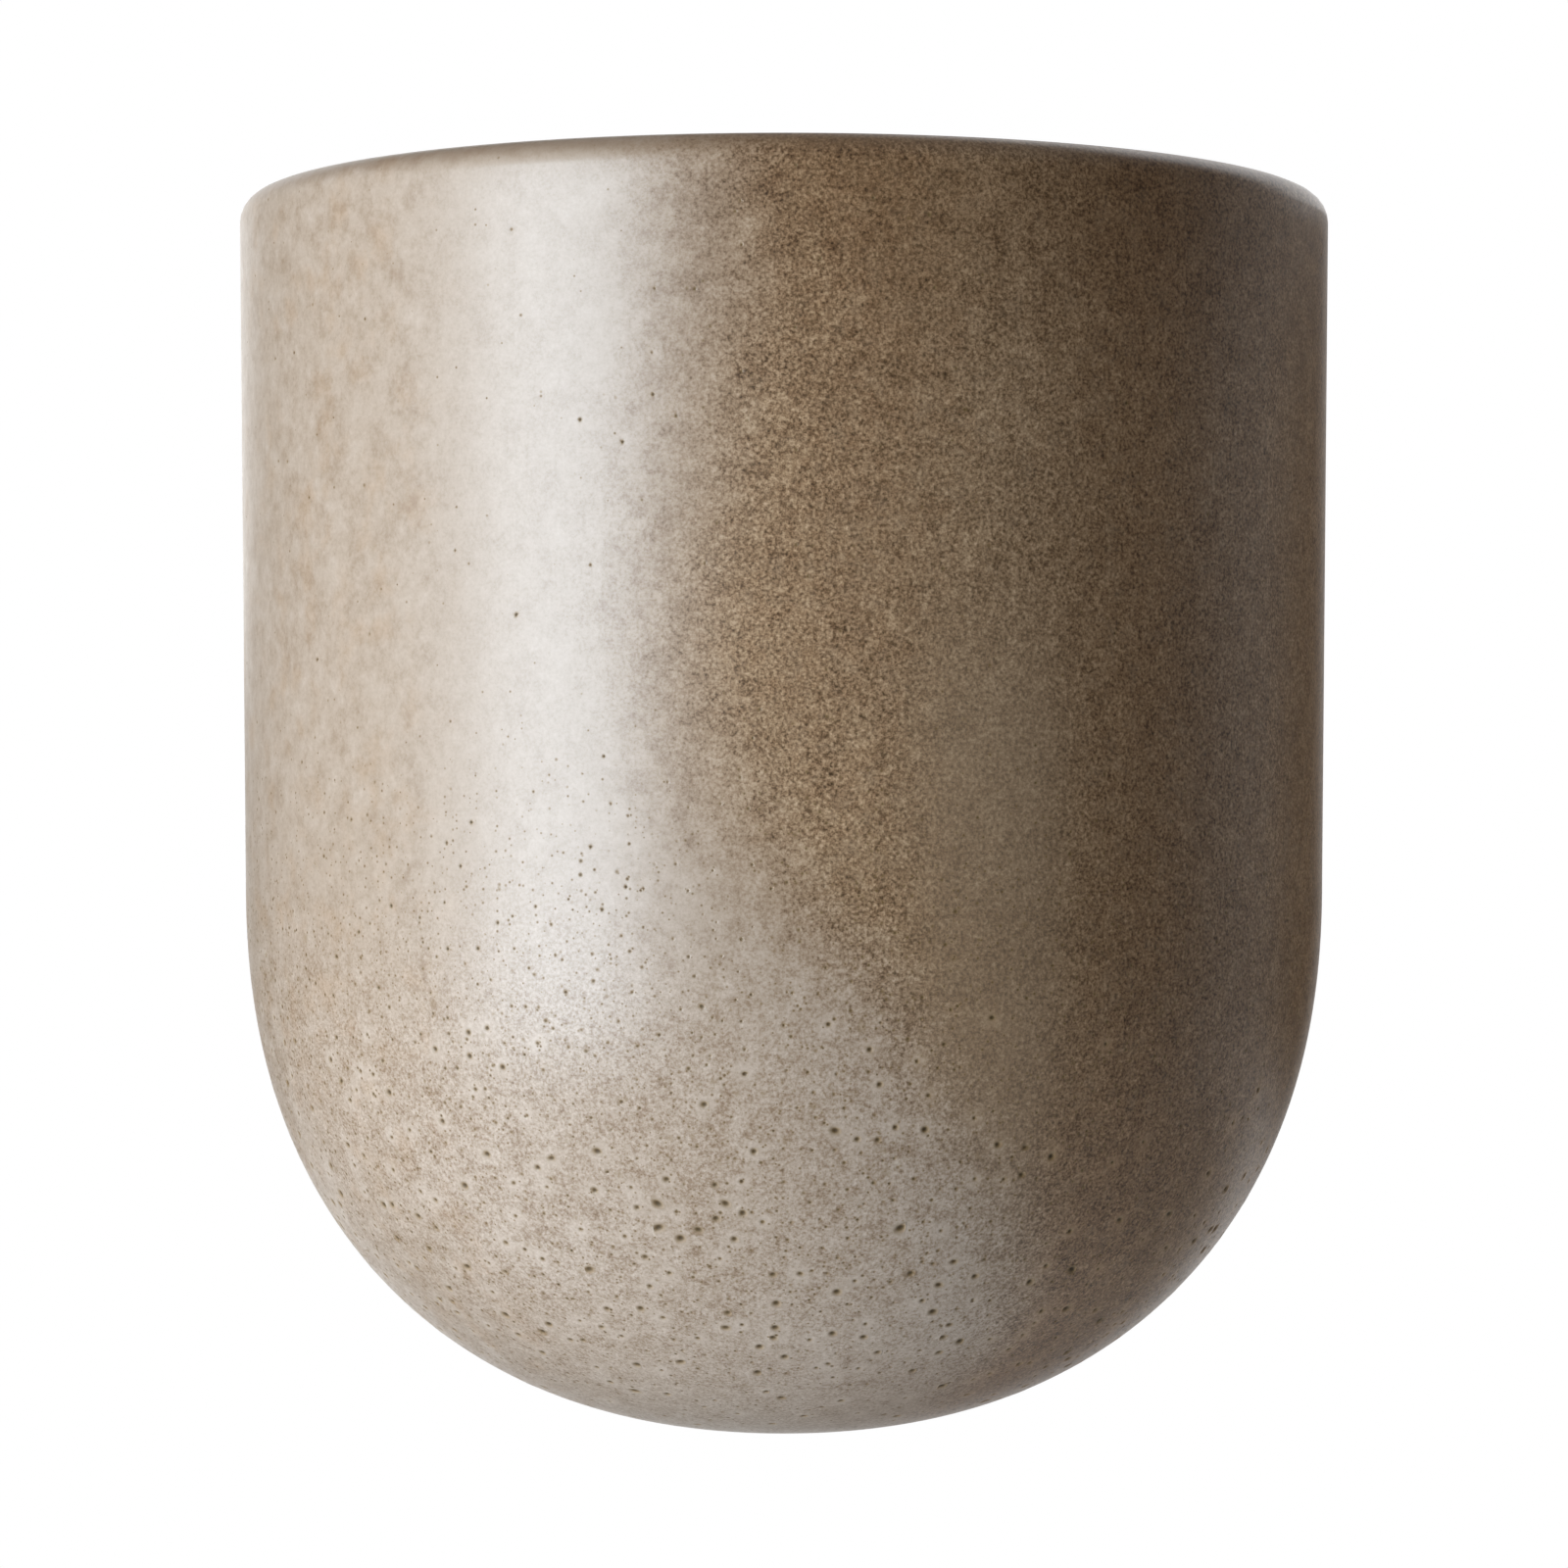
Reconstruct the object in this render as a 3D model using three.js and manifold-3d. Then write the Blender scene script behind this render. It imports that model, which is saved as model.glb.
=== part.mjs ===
// Wall planter: a stoneware bowl with a round front, a round bottom and a flat back, cast in one piece.
// A keyhole through the back hangs on the head of one screw, and four bumpers hold the bowl off the wall.
//
// Millimetres, +Z up, +Y into the wall. The origin is on the wall's surface, on the screw's axis,
// so the wall is the plane y = 0 and the front of the bowl looks along -Y.

import * as THREE from "three";
import { mergeVertices } from "three/addons/utils/BufferGeometryUtils.js";
import Module from "manifold-3d";

const wasm = await Module();
wasm.setup();

// ---------- Driving dimensions ----------

// Bowl
const bowlHeight = 171; // lip to lowest point
const waistRadius = 75; // outside, where the straight side ends
const draft = 0.8; // what the straight side widens by up to the lip, on the radius
const bottomDepth = 77; // height of the round bottom, below the straight side
const bottomPower = 2.27; // 2 is a half circle in side view, and a higher power is squarer
const backOffset = 33; // bowl's axis to the flat back
const cornerBlend = 9; // how far out from a corner the round between side and back starts
const sideWall = 6.5;
const backWall = 7;
const bottomWall = 8;
const lipHeight = 3.5; // height of the rounded lip

// Keyhole through the back wall
const hangDepth = 28; // lip to screw axis
const keyholeRadius = 6; // round opening that the screw's head passes
const slotHalfWidth = 2.6; // wider than the shank, narrower than the head
const keyholeDrop = 10; // screw axis to the centre of the round opening, when hung
const neckRound = 1.3; // round where the slot meets the round opening

// Hanging screw, pan head
const headRadius = 4.6;
const headHeight = 3.1;
const headRound = 1.5; // round at the edge of the head
const shankRadius = 1.9; // plain part under the head
const threadRadius = 2.25;
const coreRadius = 1.5; // bottom of the thread
const screwLength = 50; // under the head
const threadStart = 15; // plain shank under the head
const threadPitch = 2;
const threadFlank = 0.36; // crest to root, in turns
const pointLength = 5;
const recessReach = 2.5; // cross recess, centre to the end of an arm
const recessWidth = 1.1;
const recessDepth = 1.8;

// Wall plug
const plugRadius = 4; // for an 8 mm hole
const plugLength = 40;
const plugBoreRadius = 2.6;
const collarRadius = 5.6;
const collarThickness = 0.8;
const barbCount = 6;
const barbDepth = 0.5;
const barbLand = 0.1; // level part between one barb and the next
const barbsStart = 14; // below the mouth
const slitWidth = 1.2;
const slitEnd = 3; // what stays joined at the plug's inner end
const taperLength = 3; // plain taper after the last barb
const finReach = 5.2; // plug axis to the outer edge of a fin
const finWidth = 0.9;
const finLength = 9;

// Bumpers
const bumperRadius = 5;
const bumperThickness = 1.6;
const bumperRound = 0.7; // round at the edge that touches the wall
const bumperMargin = 11; // bumper to the edge of the back
const upperBumperDepth = 30; // lip to the upper bumpers
const lowerBumperDepth = 112; // lip to the lower bumpers

const seatGap = 0.3; // clearance between pieces that seat on each other
const cutPast = 1; // how far a cut runs past the face that it starts from

// Steps round a curve
const bottomSteps = 18;
const sideSteps = 4;
const lipSteps = 8;
const frontSteps = 18; // from the middle of the front to the round at the back
const cornerSteps = 9;
const latestCornerStart = 1.2; // radians; these two keep the steps apart near the lowest point
const latestCornerEnd = 1.5;
const backSteps = 4; // from that round to the middle of the back
const keyholeSteps = 16;
const screwSides = 24;
const headSteps = 5;
const threadLevels = 5; // levels for each turn of the thread
const plugSides = 24;
const bumperSides = 24;
const bumperSteps = 4;

// ---------- Levels and planes that follow from them ----------

const backY = -bumperThickness;
const axisY = backY - backOffset;
const lipZ = hangDepth;
const lowestZ = lipZ - bowlHeight;
const waistZ = lowestZ + bottomDepth;
const sideTopZ = lipZ - lipHeight;
const innerBackY = backY - backWall;
const headSeatY = innerBackY - seatGap; // underside of the screw's head
const slotTopZ = shankRadius + seatGap;

// ---------- Meshes and solids ----------

// A closed skin through rings of points, each ring with as many points, with a single point at both ends.
function skin(rings) {
  const positions = rings.flat().flatMap((point) => point.toArray());
  const firstOf = [];
  let count = 0;
  for (const ring of rings) {
    firstOf.push(count);
    count += ring.length;
  }
  const around = rings[1].length;
  const last = rings.length - 1;
  const index = [];
  for (let i = 0; i < around; i++) {
    const next = (i + 1) % around;
    index.push(0, firstOf[1] + next, firstOf[1] + i);
    for (let r = 1; r < last - 1; r++) {
      const [low, high] = [firstOf[r], firstOf[r + 1]];
      index.push(low + i, low + next, high + next);
      index.push(low + i, high + next, high + i);
    }
    index.push(firstOf[last], firstOf[last - 1] + i, firstOf[last - 1] + next);
  }
  const geometry = new THREE.BufferGeometry();
  geometry.setAttribute("position", new THREE.Float32BufferAttribute(positions, 3));
  geometry.setIndex(index);
  return geometry;
}

function toSolid(geometry) {
  const bare = geometry.clone();
  bare.deleteAttribute("normal");
  bare.deleteAttribute("uv");
  const merged = mergeVertices(bare, 1e-4);
  return new wasm.Manifold(
    new wasm.Mesh({
      numProp: 3,
      vertProperties: merged.attributes.position.array,
      triVerts: new Uint32Array(merged.index.array),
    }),
  );
}

function toGeometry(solid) {
  const mesh = solid.getMesh();
  const geometry = new THREE.BufferGeometry();
  geometry.setAttribute("position", new THREE.BufferAttribute(mesh.vertProperties, 3));
  geometry.setIndex(new THREE.BufferAttribute(mesh.triVerts, 1));
  return geometry;
}

// A piece turned about the Y axis from a closed profile of [radius, y] points.
function turned(profile, sides) {
  return new THREE.LatheGeometry(
    profile.map(([radius, y]) => new THREE.Vector2(radius, y)),
    sides,
  );
}

function box(width, depth, height, x, y, z) {
  return new THREE.BoxGeometry(width, depth, height).translate(x, y, z);
}

// A quarter round of a turned profile, as [radius, y] points. It goes from an end face at fromY out to the
// full radius.
function quarterRound(radius, round, fromY, steps) {
  return Array.from({ length: steps + 1 }, (_, i) => {
    const angle = (Math.PI / 2) * (i / steps);
    return [radius - round * (1 - Math.sin(angle)), fromY + round * (1 - Math.cos(angle))];
  });
}

// ---------- Bowl ----------

// Radius of the round outside wall at a height, before the flat back cuts it.
function outsideRadius(z) {
  if (z >= waistZ) return waistRadius + (draft * (z - waistZ)) / (sideTopZ - waistZ);
  const down = Math.min(1, (waistZ - z) / bottomDepth);
  return waistRadius * (1 - down ** bottomPower) ** (1 / bottomPower);
}

// Heights and radii of one wall face, from its lowest point up to the lip.
function wallProfile(wall, floor) {
  const radius = waistRadius - wall;
  const depth = bottomDepth - floor;
  const points = [];
  for (let i = 0; i <= bottomSteps; i++) {
    const angle = (Math.PI / 2) * (i / bottomSteps);
    points.push({
      radius: radius * Math.sin(angle) ** (2 / bottomPower),
      z: waistZ - depth * Math.cos(angle) ** (2 / bottomPower),
    });
  }
  for (let i = 1; i <= sideSteps; i++) {
    const up = i / sideSteps;
    points.push({ radius: radius + draft * up, z: waistZ + (sideTopZ - waistZ) * up });
  }
  return points;
}

// The smaller of two distances, with a round of the given reach where they are nearly the same.
function smallerOf(a, b, reach) {
  const close = Math.max(reach - Math.abs(a - b), 0) / reach;
  return Math.min(a, b) - (close * close * reach) / 4;
}

// Directions round the bowl's axis, from the middle of the front (-Y) the whole way round. They lie closer
// together where the round side meets the flat back.
function directions(radius, flat) {
  const towardsFlat = (distance, most) =>
    Math.asin(distance > flat ? Math.min(flat / distance, Math.sin(most)) : Math.sin(most));
  const cornerStart = towardsFlat(radius + cornerBlend, latestCornerStart);
  const cornerEnd = towardsFlat(radius - cornerBlend, latestCornerEnd);
  const half = [];
  const spread = (from, to, steps) => {
    for (let i = 0; i < steps; i++) half.push(from + ((to - from) * i) / steps);
  };
  spread(-Math.PI / 2, cornerStart, frontSteps);
  spread(cornerStart, cornerEnd, cornerSteps);
  spread(cornerEnd, Math.PI / 2, backSteps);
  const mirrored = half.slice(1).reverse().map((angle) => Math.PI - angle);
  return [...half, Math.PI / 2, ...mirrored];
}

// One level ring of the bowl: a circle of the given radius, cut flat at the back with rounded corners.
function bowlRing(radius, flat, z) {
  const reach = Math.min(cornerBlend, radius);
  return directions(radius, flat).map((angle) => {
    const toBack = Math.sin(angle);
    const distance = toBack > 0 ? smallerOf(radius, flat / toBack, reach) : radius;
    return new THREE.Vector3(distance * Math.cos(angle), axisY + distance * toBack, z);
  });
}

// The rounded lip between the top rings of the outer and inner faces.
function lipRings(outer, inner) {
  const rings = [];
  for (let i = 1; i < lipSteps; i++) {
    const turn = Math.PI * (i / lipSteps);
    const inward = (1 - Math.cos(turn)) / 2;
    rings.push(
      outer.map((point, k) => {
        const onLip = point.clone().lerp(inner[k], inward);
        onLip.z = sideTopZ + lipHeight * Math.sin(turn);
        return onLip;
      }),
    );
  }
  return rings;
}

function keyholeCutter() {
  const roundX = slotHalfWidth + neckRound; // centre of the round on the right of the neck
  const reach = keyholeRadius + neckRound;
  const neck = Math.asin(roundX / reach); // between straight up and where the opening meets that round
  const roundZ = -keyholeDrop + reach * Math.cos(neck);
  const slotCentreZ = slotTopZ - slotHalfWidth;
  const outline = new THREE.Shape();
  outline.moveTo(slotHalfWidth, roundZ);
  outline.lineTo(slotHalfWidth, slotCentreZ);
  outline.absarc(0, slotCentreZ, slotHalfWidth, 0, Math.PI, false);
  outline.lineTo(-slotHalfWidth, roundZ);
  outline.absarc(-roundX, roundZ, neckRound, 0, neck - Math.PI / 2, true);
  outline.absarc(0, -keyholeDrop, keyholeRadius, Math.PI / 2 + neck, Math.PI * 2.5 - neck, false);
  outline.absarc(roundX, roundZ, neckRound, Math.PI * 1.5 - neck, Math.PI, true);
  const cutter = new THREE.ExtrudeGeometry(outline, {
    depth: backWall + 2 * cutPast,
    bevelEnabled: false,
    curveSegments: keyholeSteps,
  });
  return cutter.rotateX(Math.PI / 2).translate(0, backY + cutPast, 0);
}

function bowlGeometry() {
  const outer = wallProfile(0, 0);
  const inner = wallProfile(sideWall, bottomWall);
  const outerRings = outer.slice(1).map(({ radius, z }) => bowlRing(radius, backOffset, z));
  const innerRings = inner
    .slice(1)
    .map(({ radius, z }) => bowlRing(radius, backOffset - backWall, z));
  const bowl = skin([
    [new THREE.Vector3(0, axisY, outer[0].z)],
    ...outerRings,
    ...lipRings(outerRings.at(-1), innerRings.at(-1)),
    ...innerRings.reverse(),
    [new THREE.Vector3(0, axisY, inner[0].z)],
  ]);
  return toGeometry(toSolid(bowl).subtract(toSolid(keyholeCutter())));
}

// ---------- Hanging screw ----------

// Radius of the threaded part in one direction at one level: a helical ridge on the core, which runs out
// at both ends.
function threadedRadius(angle, y, fromY, toY) {
  const along = (y - fromY) / threadPitch - angle / (2 * Math.PI);
  const fromCrest = Math.abs(along - Math.round(along)); // 0 on the crest, 0.5 half a turn away
  const ridge = Math.max(0, 1 - fromCrest / threadFlank);
  const runOut = Math.max(0, Math.min(1, (y - fromY) / threadPitch, (toY - y) / threadPitch));
  return coreRadius + (threadRadius - coreRadius) * ridge * runOut;
}

function screwRing(y, radiusAt) {
  return Array.from({ length: screwSides }, (_, i) => {
    const angle = (2 * Math.PI * i) / screwSides;
    const radius = radiusAt(angle);
    return new THREE.Vector3(radius * Math.sin(angle), y, radius * Math.cos(angle));
  });
}

function screwGeometry() {
  const topY = headSeatY - headHeight;
  const neckY = headSeatY + threadStart;
  const threadY = neckY + shankRadius - coreRadius;
  const tipY = headSeatY + screwLength;
  const pointY = tipY - pointLength;
  const plainRing = ([radius, y]) => screwRing(y, () => radius);
  const headEdge = quarterRound(headRadius, headRound, topY, headSteps);
  const levels = Math.round((threadLevels * (pointY - threadY)) / threadPitch);
  const thread = Array.from({ length: levels + 1 }, (_, i) => {
    const y = threadY + ((pointY - threadY) * i) / levels;
    return screwRing(y, (angle) => threadedRadius(angle, y, threadY, pointY));
  });
  const body = skin([
    [new THREE.Vector3(0, topY, 0)],
    ...headEdge.map(plainRing),
    ...[
      [headRadius, headSeatY],
      [shankRadius, headSeatY],
      [shankRadius, neckY],
    ].map(plainRing),
    ...thread,
    [new THREE.Vector3(0, tipY, 0)],
  ]);
  const recessY = topY + (recessDepth - cutPast) / 2;
  const arm = (width, height) =>
    toSolid(box(width, recessDepth + cutPast, height, 0, recessY, 0));
  const recess = arm(2 * recessReach, recessWidth).add(arm(recessWidth, 2 * recessReach));
  return toGeometry(toSolid(body).subtract(recess));
}

// ---------- Wall plug ----------

function plugGeometry() {
  const taperY = plugLength - taperLength;
  const barbPitch = (taperY - barbsStart) / barbCount;
  const barbs = [];
  for (let i = 0; i < barbCount; i++) {
    const y = barbsStart + barbPitch * i;
    barbs.push([plugRadius, y], [plugRadius - barbDepth, y + barbPitch - barbLand]);
  }
  const profile = [
    [plugBoreRadius, -collarThickness],
    [collarRadius - collarThickness / 2, -collarThickness],
    [collarRadius, -collarThickness / 2],
    [collarRadius, 0],
    [plugRadius, 0],
    ...barbs,
    [plugRadius, taperY],
    [plugRadius - barbDepth, plugLength],
    [plugBoreRadius, plugLength],
    [plugBoreRadius, -collarThickness],
  ];
  const slitLength = plugLength - slitEnd - barbsStart;
  const slitY = barbsStart + slitLength / 2;
  const slit = box(2 * collarRadius, slitLength, slitWidth, 0, slitY, 0);
  const finFoot = plugBoreRadius + seatGap; // inside the sleeve's wall
  const finHeight = finReach - finFoot;
  const fins = [1, -1].map((side) =>
    toSolid(box(finWidth, finLength, finHeight, 0, finLength / 2, side * (finFoot + finHeight / 2))),
  );
  const sleeve = toSolid(turned(profile, plugSides)).subtract(toSolid(slit));
  return toGeometry(fins.reduce((body, fin) => body.add(fin), sleeve));
}

// ---------- Bumpers ----------

// Half the width of the flat part of the back at a height.
function flatHalfWidth(z) {
  const radius = outsideRadius(z);
  return Math.sqrt(Math.max(radius ** 2 - backOffset ** 2, 0));
}

function bumperGeometry() {
  const edge = quarterRound(bumperRadius, bumperRound, 0, bumperSteps)
    .map(([radius, y]) => [radius, -y])
    .reverse();
  const profile = [[0, -bumperThickness], [bumperRadius, -bumperThickness], ...edge, [0, 0]];
  return turned(profile, bumperSides);
}

// ---------- Assembly ----------

const finish = (color, roughness, metalness = 0) =>
  new THREE.MeshStandardMaterial({ color, roughness, metalness });
const glaze = finish(0xa08c76, 0.35);
const zinc = finish(0xb9bcc0, 0.35, 1);
const nylon = finish(0x9a9c9e, 0.6);
const clearRubber = finish(0xd9dcdc, 0.25);

function piece(name, geometry, material) {
  const mesh = new THREE.Mesh(geometry, material);
  mesh.name = name;
  return mesh;
}

const wallFixing = new THREE.Group();
wallFixing.add(piece("hanging_screw", screwGeometry(), zinc));
wallFixing.add(piece("wall_plug", plugGeometry(), nylon));

const pot = new THREE.Group();
pot.add(piece("bowl", bowlGeometry(), glaze));
for (const [level, depth] of [
  ["upper", upperBumperDepth],
  ["lower", lowerBumperDepth],
]) {
  const z = lipZ - depth;
  const x = flatHalfWidth(z) - bumperMargin - bumperRadius;
  for (const [side, sign] of [
    ["left", -1],
    ["right", 1],
  ]) {
    const bumper = piece(`bumper_${level}_${side}`, bumperGeometry(), clearRubber);
    bumper.position.set(sign * x, 0, z);
    pot.add(bumper);
  }
}

const wallPlanter = new THREE.Group();
wallPlanter.add(wallFixing, pot);

export default wallPlanter;
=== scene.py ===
"""The looks of a glazed stoneware wall planter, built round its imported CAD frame.

Metres, +Z up, +Y into the wall, the wall's surface at y = 0. The pot's front looks along -Y.
"""

import math

import bmesh
import bpy
import numpy as np
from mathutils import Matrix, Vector
from mathutils.geometry import delaunay_2d_cdt


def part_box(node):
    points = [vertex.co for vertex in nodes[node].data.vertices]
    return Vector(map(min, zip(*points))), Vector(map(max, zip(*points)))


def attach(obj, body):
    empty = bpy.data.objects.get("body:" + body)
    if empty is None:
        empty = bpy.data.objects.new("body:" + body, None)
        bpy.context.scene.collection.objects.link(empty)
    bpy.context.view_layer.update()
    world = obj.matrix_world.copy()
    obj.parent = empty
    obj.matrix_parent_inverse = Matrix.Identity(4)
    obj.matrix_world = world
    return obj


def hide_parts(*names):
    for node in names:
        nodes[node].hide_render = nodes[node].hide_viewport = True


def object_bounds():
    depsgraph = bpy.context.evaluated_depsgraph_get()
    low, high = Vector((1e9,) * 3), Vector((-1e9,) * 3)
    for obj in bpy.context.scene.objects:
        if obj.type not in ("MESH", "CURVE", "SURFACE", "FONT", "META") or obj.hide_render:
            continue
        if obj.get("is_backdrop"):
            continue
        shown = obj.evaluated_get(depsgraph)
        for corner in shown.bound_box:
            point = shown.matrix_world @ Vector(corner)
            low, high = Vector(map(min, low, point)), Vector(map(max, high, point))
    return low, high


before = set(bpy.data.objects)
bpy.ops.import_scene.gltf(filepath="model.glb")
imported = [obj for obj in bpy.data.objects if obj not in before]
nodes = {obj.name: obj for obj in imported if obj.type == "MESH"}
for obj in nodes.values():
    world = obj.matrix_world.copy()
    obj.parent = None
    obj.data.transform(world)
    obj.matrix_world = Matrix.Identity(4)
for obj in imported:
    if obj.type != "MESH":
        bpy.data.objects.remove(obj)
cad_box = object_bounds()

MM = 0.001
DEGREE = math.radians(1)
TINY = 1e-6  # keeps a division from being one by zero
FAR = 10.0  # metres, past anything on the bowl

# ---------- Sizes, as in the CAD ----------

WAIST_RADIUS = 75 * MM
DRAFT = 0.8 * MM
BOTTOM_DEPTH = 77 * MM
BOTTOM_POWER = 2.27
CORNER_BLEND = 9 * MM
SIDE_WALL = 6.5 * MM
BACK_WALL = 7 * MM
BOTTOM_WALL = 8 * MM
LIP_HEIGHT = 3.5 * MM

KEYHOLE_RADIUS = 6 * MM
SLOT_HALF_WIDTH = 2.6 * MM
KEYHOLE_DROP = 10 * MM
NECK_ROUND = 1.3 * MM
SLOT_TOP = 2.2 * MM

BOWL_LOW, BOWL_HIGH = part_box("bowl")
BACK_Y = BOWL_HIGH.y
FLAT = 33 * MM  # bowl's axis to the flat back
AXIS_Y = BACK_Y - FLAT
LIP_Z = BOWL_HIGH.z
LOWEST_Z = BOWL_LOW.z
WAIST_Z = LOWEST_Z + BOTTOM_DEPTH
SIDE_TOP_Z = LIP_Z - LIP_HEIGHT
INNER_BACK_Y = BACK_Y - BACK_WALL

# ---------- The bowl's mesh ----------

FRONT_STEPS = 110
CORNER_STEPS = 10
BACK_STEPS = 20
LATEST_CORNER_START = 1.2  # radians round the axis
LATEST_CORNER_END = 1.5
BOTTOM_STEPS = 80
SIDE_STEPS = 34
LIP_STEPS = 12
INNER_SIDE_STEPS = 14
INNER_BOTTOM_STEPS = 26

KEYHOLE_POINTS = 96
ARC_POINTS = 400
KEYHOLE_SOFT = 0.8 * MM  # round at the keyhole's edges
KEYHOLE_SOFT_STEPS = 5
PATCH_LOW = -26 * MM  # the part of the back that is meshed round the keyhole
PATCH_HIGH = 12 * MM
OUTER_PATCH_COLUMNS = 5
INNER_PATCH_COLUMNS = 7
SAME_POINT = 1e-5  # mm apart
WHOLE_HULL = 0  # delaunay_2d_cdt's output that fills all inside the outermost points

ON_BACK = 0.02 * MM  # how near the back's face a vertex counts as on it
KEYHOLE_BARE = 10.0  # painted as if it were 10 mm in from the back's edge


# ---------- Bowl ----------


def ring_angles(radius, flat):
    """Directions round the bowl's axis, from the middle of the front the whole way round."""

    def towards_flat(distance, most):
        limit = math.sin(most)
        return math.asin(min(flat / distance, limit) if distance > flat else limit)

    start = towards_flat(radius + CORNER_BLEND, LATEST_CORNER_START)
    end = towards_flat(radius - CORNER_BLEND, LATEST_CORNER_END)
    half = np.concatenate(
        [
            np.linspace(-math.pi / 2, start, FRONT_STEPS, endpoint=False),
            np.linspace(start, end, CORNER_STEPS, endpoint=False),
            np.linspace(end, math.pi / 2, BACK_STEPS, endpoint=False),
        ]
    )
    return np.concatenate([half, [math.pi / 2], math.pi - half[:0:-1]])


def bowl_ring(radius, flat, z):
    """One level ring: a circle cut flat at the back, with rounded corners."""
    angle = ring_angles(radius, flat)
    to_back = np.sin(angle)
    reach = min(CORNER_BLEND, radius)
    straight = np.where(to_back > TINY, flat / np.maximum(to_back, TINY), FAR)
    close = np.clip(reach - np.abs(radius - straight), 0, None) / reach
    corner = close**2 * reach / 4
    distance = np.minimum(radius, straight) - corner
    return np.stack(
        [distance * np.cos(angle), AXIS_Y + distance * to_back, np.full_like(angle, z)],
        axis=1,
    )


def wall_profile(wall, floor, bottom_steps, side_steps):
    """Radii and heights of one wall face, from its lowest point up to the lip."""
    radius, depth = WAIST_RADIUS - wall, BOTTOM_DEPTH - floor
    turn = np.linspace(0, math.pi / 2, bottom_steps + 1)
    bottom = zip(
        radius * np.sin(turn) ** (2 / BOTTOM_POWER),
        WAIST_Z - depth * np.cos(turn).clip(0) ** (2 / BOTTOM_POWER),
    )
    up = np.linspace(0, 1, side_steps + 1)[1:]
    side = zip(radius + DRAFT * up, WAIST_Z + (SIDE_TOP_Z - WAIST_Z) * up)
    return [*bottom, *side]


def lip_rings(outer, inner):
    """The rounded lip between the top rings of the outer and inner faces."""
    rings = []
    for turn in np.linspace(0, math.pi, LIP_STEPS + 1)[1:-1]:
        on_lip = outer + (inner - outer) * (1 - math.cos(turn)) / 2
        on_lip[:, 2] = SIDE_TOP_Z + LIP_HEIGHT * math.sin(turn)
        rings.append(on_lip)
    return rings


class Skin:
    """Vertices, faces and painted values of one mesh, while it is being put together."""

    def __init__(self):
        self.points = []
        self.faces = []
        self.painted = {"pit": {}, "halo": {}, "bare": {}}

    def add(self, points):
        first = len(self.points)
        self.points.extend(tuple(p) for p in points)
        return list(range(first, len(self.points)))

    def paint(self, name, vertices, value):
        for v in vertices:
            self.painted[name][v] = value

    def bridge(self, low, high):
        """Four-sided faces between two closed rows of vertices with as many in each."""
        for i in range(len(low)):
            j = (i + 1) % len(low)
            self.faces.append((low[i], low[j], high[j], high[i]))

    def to_object(self, name):
        used = sorted({v for face in self.faces for v in face})
        place = {v: i for i, v in enumerate(used)}
        mesh = bpy.data.meshes.new(name)
        mesh.from_pydata(
            [self.points[v] for v in used],
            [],
            [tuple(place[v] for v in face) for face in self.faces],
        )
        for layer, values in self.painted.items():
            if values:
                paint = mesh.attributes.new(layer, "FLOAT", "POINT")
                paint.data.foreach_set("value", [values.get(v, 0.0) for v in used])
        sheet = bmesh.new()
        sheet.from_mesh(mesh)
        bmesh.ops.recalc_face_normals(sheet, faces=sheet.faces)
        for face in sheet.faces:
            face.smooth = True
        sheet.to_mesh(mesh)
        sheet.free()
        piece = bpy.data.objects.new(name, mesh)
        bpy.context.scene.collection.objects.link(piece)
        return piece


def keyhole_outline(grow, points):
    """The keyhole's outline as evenly spaced (x, z) points, grown outwards by a distance."""
    round_x = SLOT_HALF_WIDTH + NECK_ROUND
    reach = KEYHOLE_RADIUS + NECK_ROUND
    neck = math.asin(round_x / reach)
    round_z = -KEYHOLE_DROP + reach * math.cos(neck)
    slot_z = SLOT_TOP - SLOT_HALF_WIDTH

    def arc(x, z, radius, start, end):
        turn = np.linspace(start, end, ARC_POINTS)
        return np.stack([x + radius * np.cos(turn), z + radius * np.sin(turn)], axis=1)

    right = math.pi / 2
    path = np.concatenate(
        [
            arc(0, slot_z, SLOT_HALF_WIDTH + grow, right, 2 * right),
            arc(-round_x, round_z, NECK_ROUND - grow, 0, neck - right),
            arc(0, -KEYHOLE_DROP, KEYHOLE_RADIUS + grow, right + neck, 5 * right - neck),
            arc(round_x, round_z, NECK_ROUND - grow, 3 * right - neck, 2 * right),
            arc(0, slot_z, SLOT_HALF_WIDTH + grow, 0, right),
        ]
    )
    along = np.concatenate(
        [[0], np.cumsum(np.linalg.norm(np.diff(path, axis=0), axis=1))]
    )
    wanted = np.linspace(0, along[-1], points, endpoint=False)
    return np.stack([np.interp(wanted, along, path[:, k]) for k in (0, 1)], axis=1)


def flat_patch(skin, border, hole):
    """Fills the flat ring between a border of vertices and the keyhole's edge."""
    loop = border + hole
    places = [Vector((skin.points[v][0] / MM, skin.points[v][2] / MM)) for v in loop]
    rounds = ((0, len(border)), (len(border), len(loop)))
    edges = [
        (i, i + 1 if i + 1 < end else start) for start, end in rounds for i in range(start, end)
    ]
    points, _, faces, origin, _, _ = delaunay_2d_cdt(places, edges, [], WHOLE_HULL, SAME_POINT)
    soft = KEYHOLE_SOFT / MM
    for face in faces:
        corners = [loop[origin[i][0]] for i in face]
        middle = sum((points[i] for i in face), Vector((0, 0))) / 3
        reach = math.hypot(middle.x, middle.y + KEYHOLE_DROP / MM)
        beside = abs(middle.x) > SLOT_HALF_WIDTH / MM + soft
        if not set(corners) <= set(hole) or (reach > KEYHOLE_RADIUS / MM + soft and beside):
            skin.faces.append(tuple(corners))


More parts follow.
